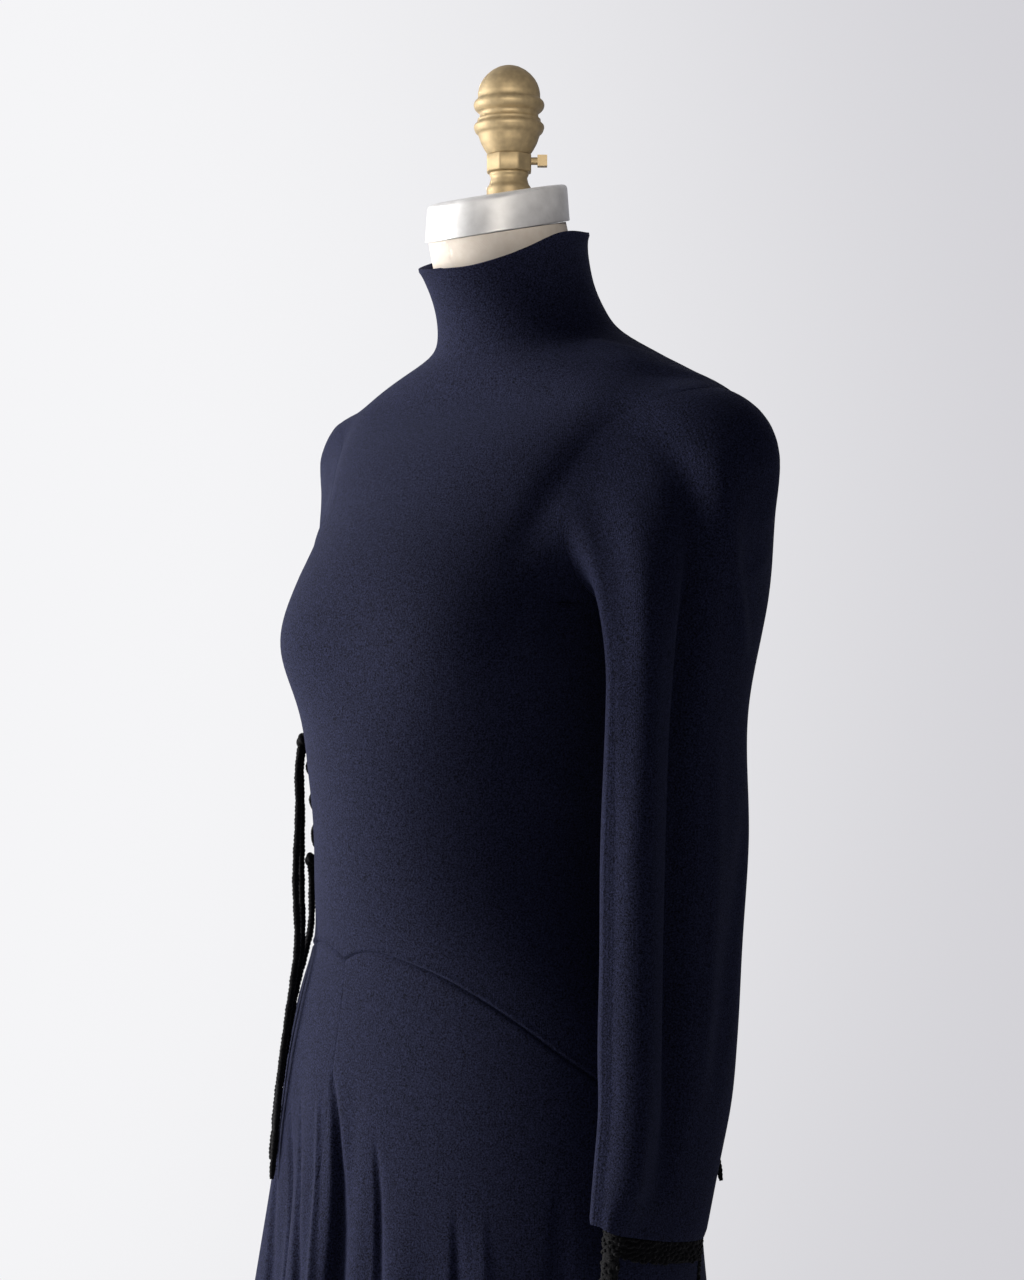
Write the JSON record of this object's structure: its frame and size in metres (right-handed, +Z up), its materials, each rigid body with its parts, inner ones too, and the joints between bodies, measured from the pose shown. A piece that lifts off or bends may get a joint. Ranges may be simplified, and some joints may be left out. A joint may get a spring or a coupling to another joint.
{
  "type": "sweater dress on dress form",
  "caption": "Long-sleeved fine-knit wool dress with funnel collar, pointed hip seam and fluted midi skirt, laced at the waist, on a limbless form with pole stand",
  "frame": {"origin": "centre of the stand's flat underside, on the axis of the pole", "axes": "+Z up from the floor, the dress faces -Y, +X is the wearer's left"},
  "size_m": [0.4866, 0.4254, 1.6082],
  "materials": {
    "navy_knit": "fine felted wool jersey",
    "black_wool": "fuzzy wool cord and crochet",
    "form_canvas": "plain sized canvas",
    "neck_aluminium": "satin spun metal",
    "finial_brass": "worn brass-coloured paint",
    "stand_iron": "satin black paint"
  },
  "bodies": {
    "root": {"bodice_front": "navy_knit", "bodice_back": "navy_knit", "collar": "navy_knit", "skirt_front_left": "navy_knit", "skirt_front_right": "navy_knit", "skirt_back_left": "navy_knit", "skirt_back_right": "navy_knit", "sleeve_left": "navy_knit", "sleeve_right": "navy_knit", "cuff_end_left": "navy_knit", "cuff_end_right": "navy_knit", "cuff_trim_left": "black_wool", "cuff_trim_right": "black_wool", "side_lacing": "black_wool", "cord_a": "black_wool", "cord_b": "black_wool", "cord_c": "black_wool", "cord_d": "black_wool", "lacing_knot_top": "black_wool", "lacing_knot_low": "black_wool", "back_knot": "black_wool", "form_body": "form_canvas", "neck_ring": "neck_aluminium", "finial": "finial_brass", "set_screw": "finial_brass", "pole": "stand_iron", "base": "stand_iron"}
  },
  "joints": []
}
